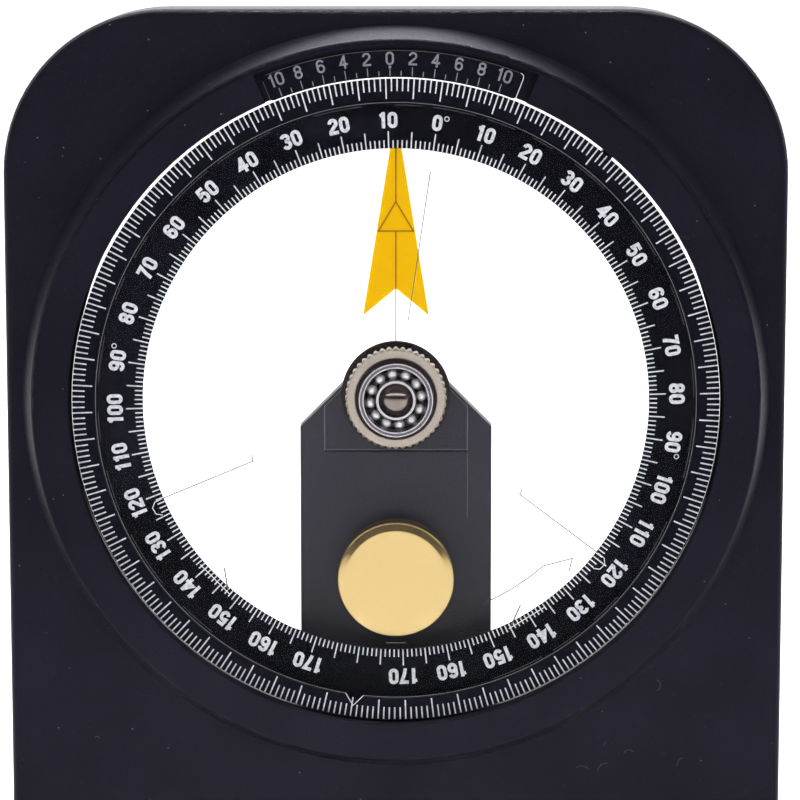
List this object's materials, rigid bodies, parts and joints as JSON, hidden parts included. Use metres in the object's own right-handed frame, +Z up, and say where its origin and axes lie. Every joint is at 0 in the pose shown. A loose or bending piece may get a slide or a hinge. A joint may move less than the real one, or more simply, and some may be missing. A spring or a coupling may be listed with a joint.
{
  "type": "pendulum inclinometer",
  "caption": "Flat standing case with a round boss, a clear turning degree dial read by a vernier, and a clear weighted pendulum disc with an arrow on a ball bearing.",
  "frame": {"origin": "middle of the flat base, half way through the whole thickness", "axes": "+Z up, the dial faces -Y, +X to the right of a person who reads the dial"},
  "size_m": [0.127, 0.0214, 0.1524],
  "materials": {
    "black_plastic": "fine moulded texture",
    "clear_plastic": "clear, polished",
    "black_print": "printed black film",
    "white_print": "printed marks",
    "yellow_print": "printed film",
    "screw_steel": "zinc plated",
    "polished_steel": "ground",
    "cage_steel": "dark, oiled",
    "hub_metal": "dark anodised",
    "nickel": "satin nickel plate",
    "brass": "turned and polished",
    "felt": "felt"
  },
  "bodies": {
    "case": {"front_shell": "black_plastic", "back_shell": "black_plastic", "back_window": "clear_plastic", "case_screws": "screw_steel", "vernier_plate": "black_print", "felt_ring": "felt", "dial_retainer": "black_plastic", "retainer_screws": "screw_steel", "pivot_arm": "black_plastic", "arm_screws": "screw_steel", "pivot_stud": "polished_steel", "stud_washer": "screw_steel", "stud_nut": "screw_steel", "stud_spacer": "polished_steel", "bearing_inner_ring": "polished_steel"},
    "dial": {"dial_disc": "clear_plastic", "inner_scale_ring": "black_print", "outer_scale_ring": "black_print"},
    "pendulum": {"pendulum_disc": "clear_plastic", "pendulum_hub": "hub_metal", "knurled_nut": "nickel", "arrow_pointer": "yellow_print", "pendulum_weight": "brass", "weight_screw": "screw_steel", "bearing_outer_ring": "polished_steel"},
    "ball_set": {"bearing_balls": "polished_steel", "bearing_cage": "cage_steel"}
  },
  "joints": [
    {"name": "dial_turn", "type": "hinge", "parent": "case", "child": "dial", "pos_m": [0, -0.0068, 0.0889], "axis": [0, 1, 0], "continuous": true},
    {"name": "pendulum_swing", "type": "hinge", "parent": "case", "child": "pendulum", "pos_m": [0, -0.0036, 0.0889], "axis": [0, 1, 0], "continuous": true},
    {"name": "ball_set_turn", "type": "hinge", "parent": "case", "child": "ball_set", "pos_m": [0, -0.0036, 0.0889], "axis": [0, 1, 0], "continuous": true}
  ],
  "couplings": [
    {"joint": "ball_set_turn", "follows": "pendulum_swing", "ratio": 0.6012}
  ]
}
